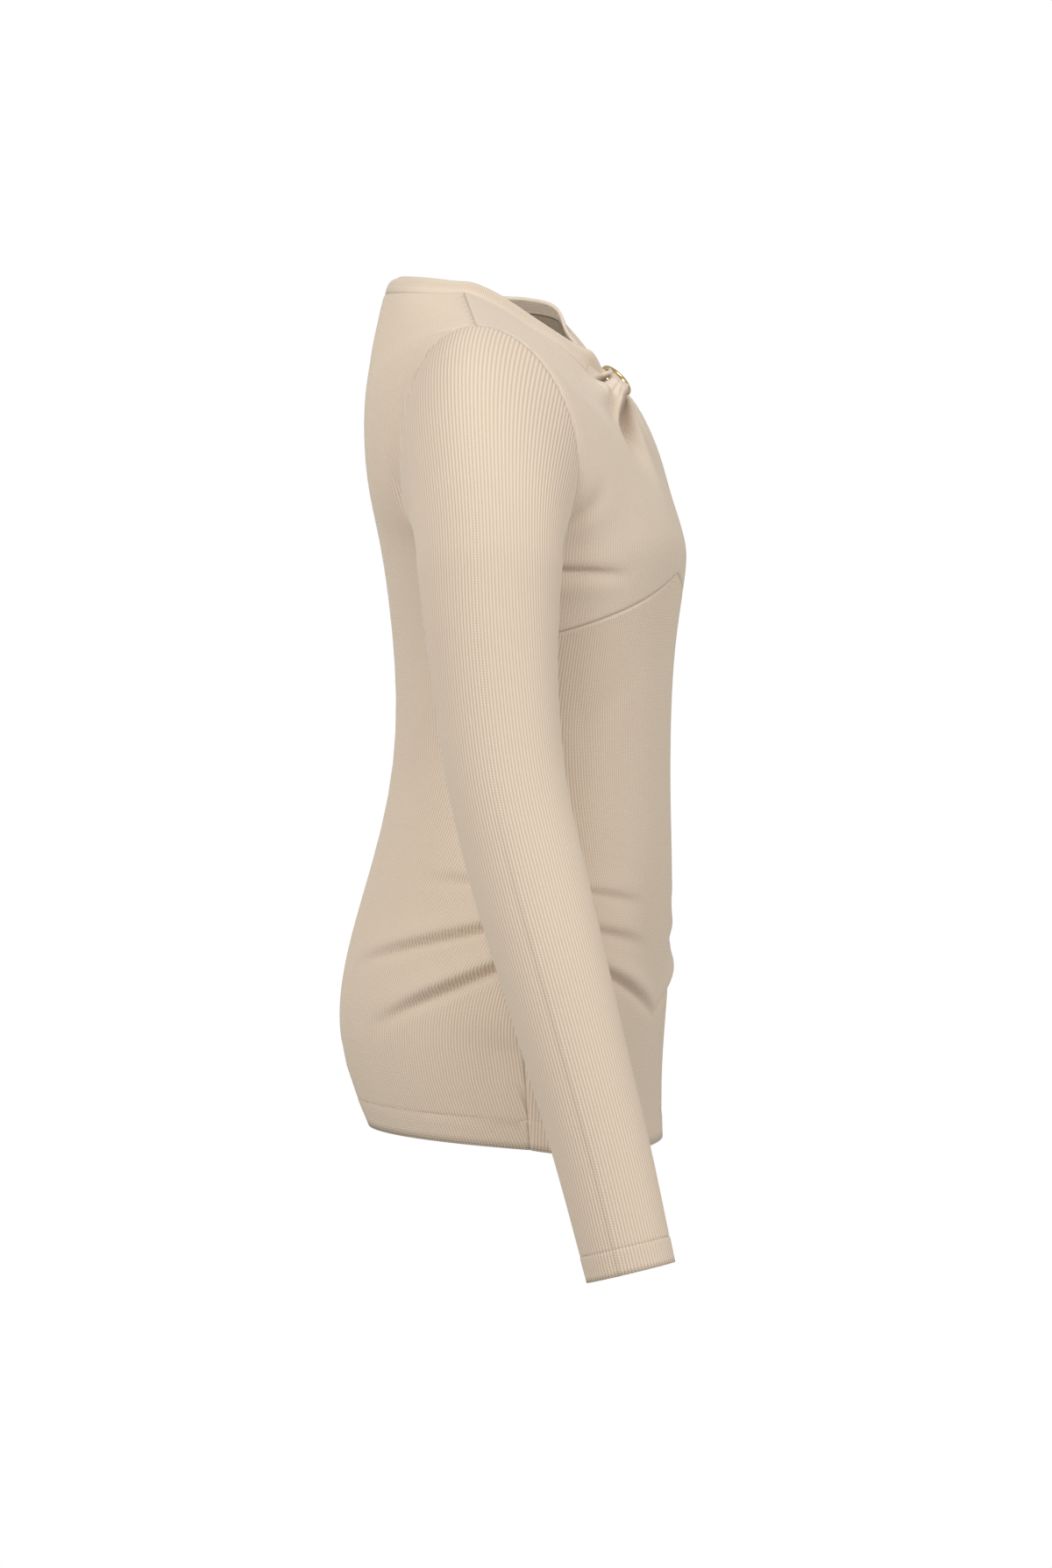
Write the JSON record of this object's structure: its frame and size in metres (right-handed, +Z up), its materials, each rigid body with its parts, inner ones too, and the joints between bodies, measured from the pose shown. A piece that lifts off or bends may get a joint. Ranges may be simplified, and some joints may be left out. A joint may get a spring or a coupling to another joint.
{
  "type": "knit top",
  "caption": "Fitted long-sleeved rib-knit top in worn form, its V neckline gathered into a small metal ring at the centre front, with gathered side seams.",
  "frame": {"origin": "middle of the neck, level with the inner ends of the shoulder seams, where the wearer's shoulders and neck hold the top", "axes": "+Z up along the wearer's trunk, the front faces -Y, the wearer's right side is -X"},
  "size_m": [0.5142, 0.2641, 0.6632],
  "materials": {
    "knit": "soft beige fine-rib knit",
    "gold": "polished gold-coloured metal"
  },
  "bodies": {
    "root": {"back": "knit", "front_lower": "knit", "front_upper_right": "knit", "front_upper_left": "knit", "sleeve_right": "knit", "sleeve_left": "knit", "neck_band": "knit", "ring_tab": "knit", "ring": "gold"}
  },
  "joints": []
}
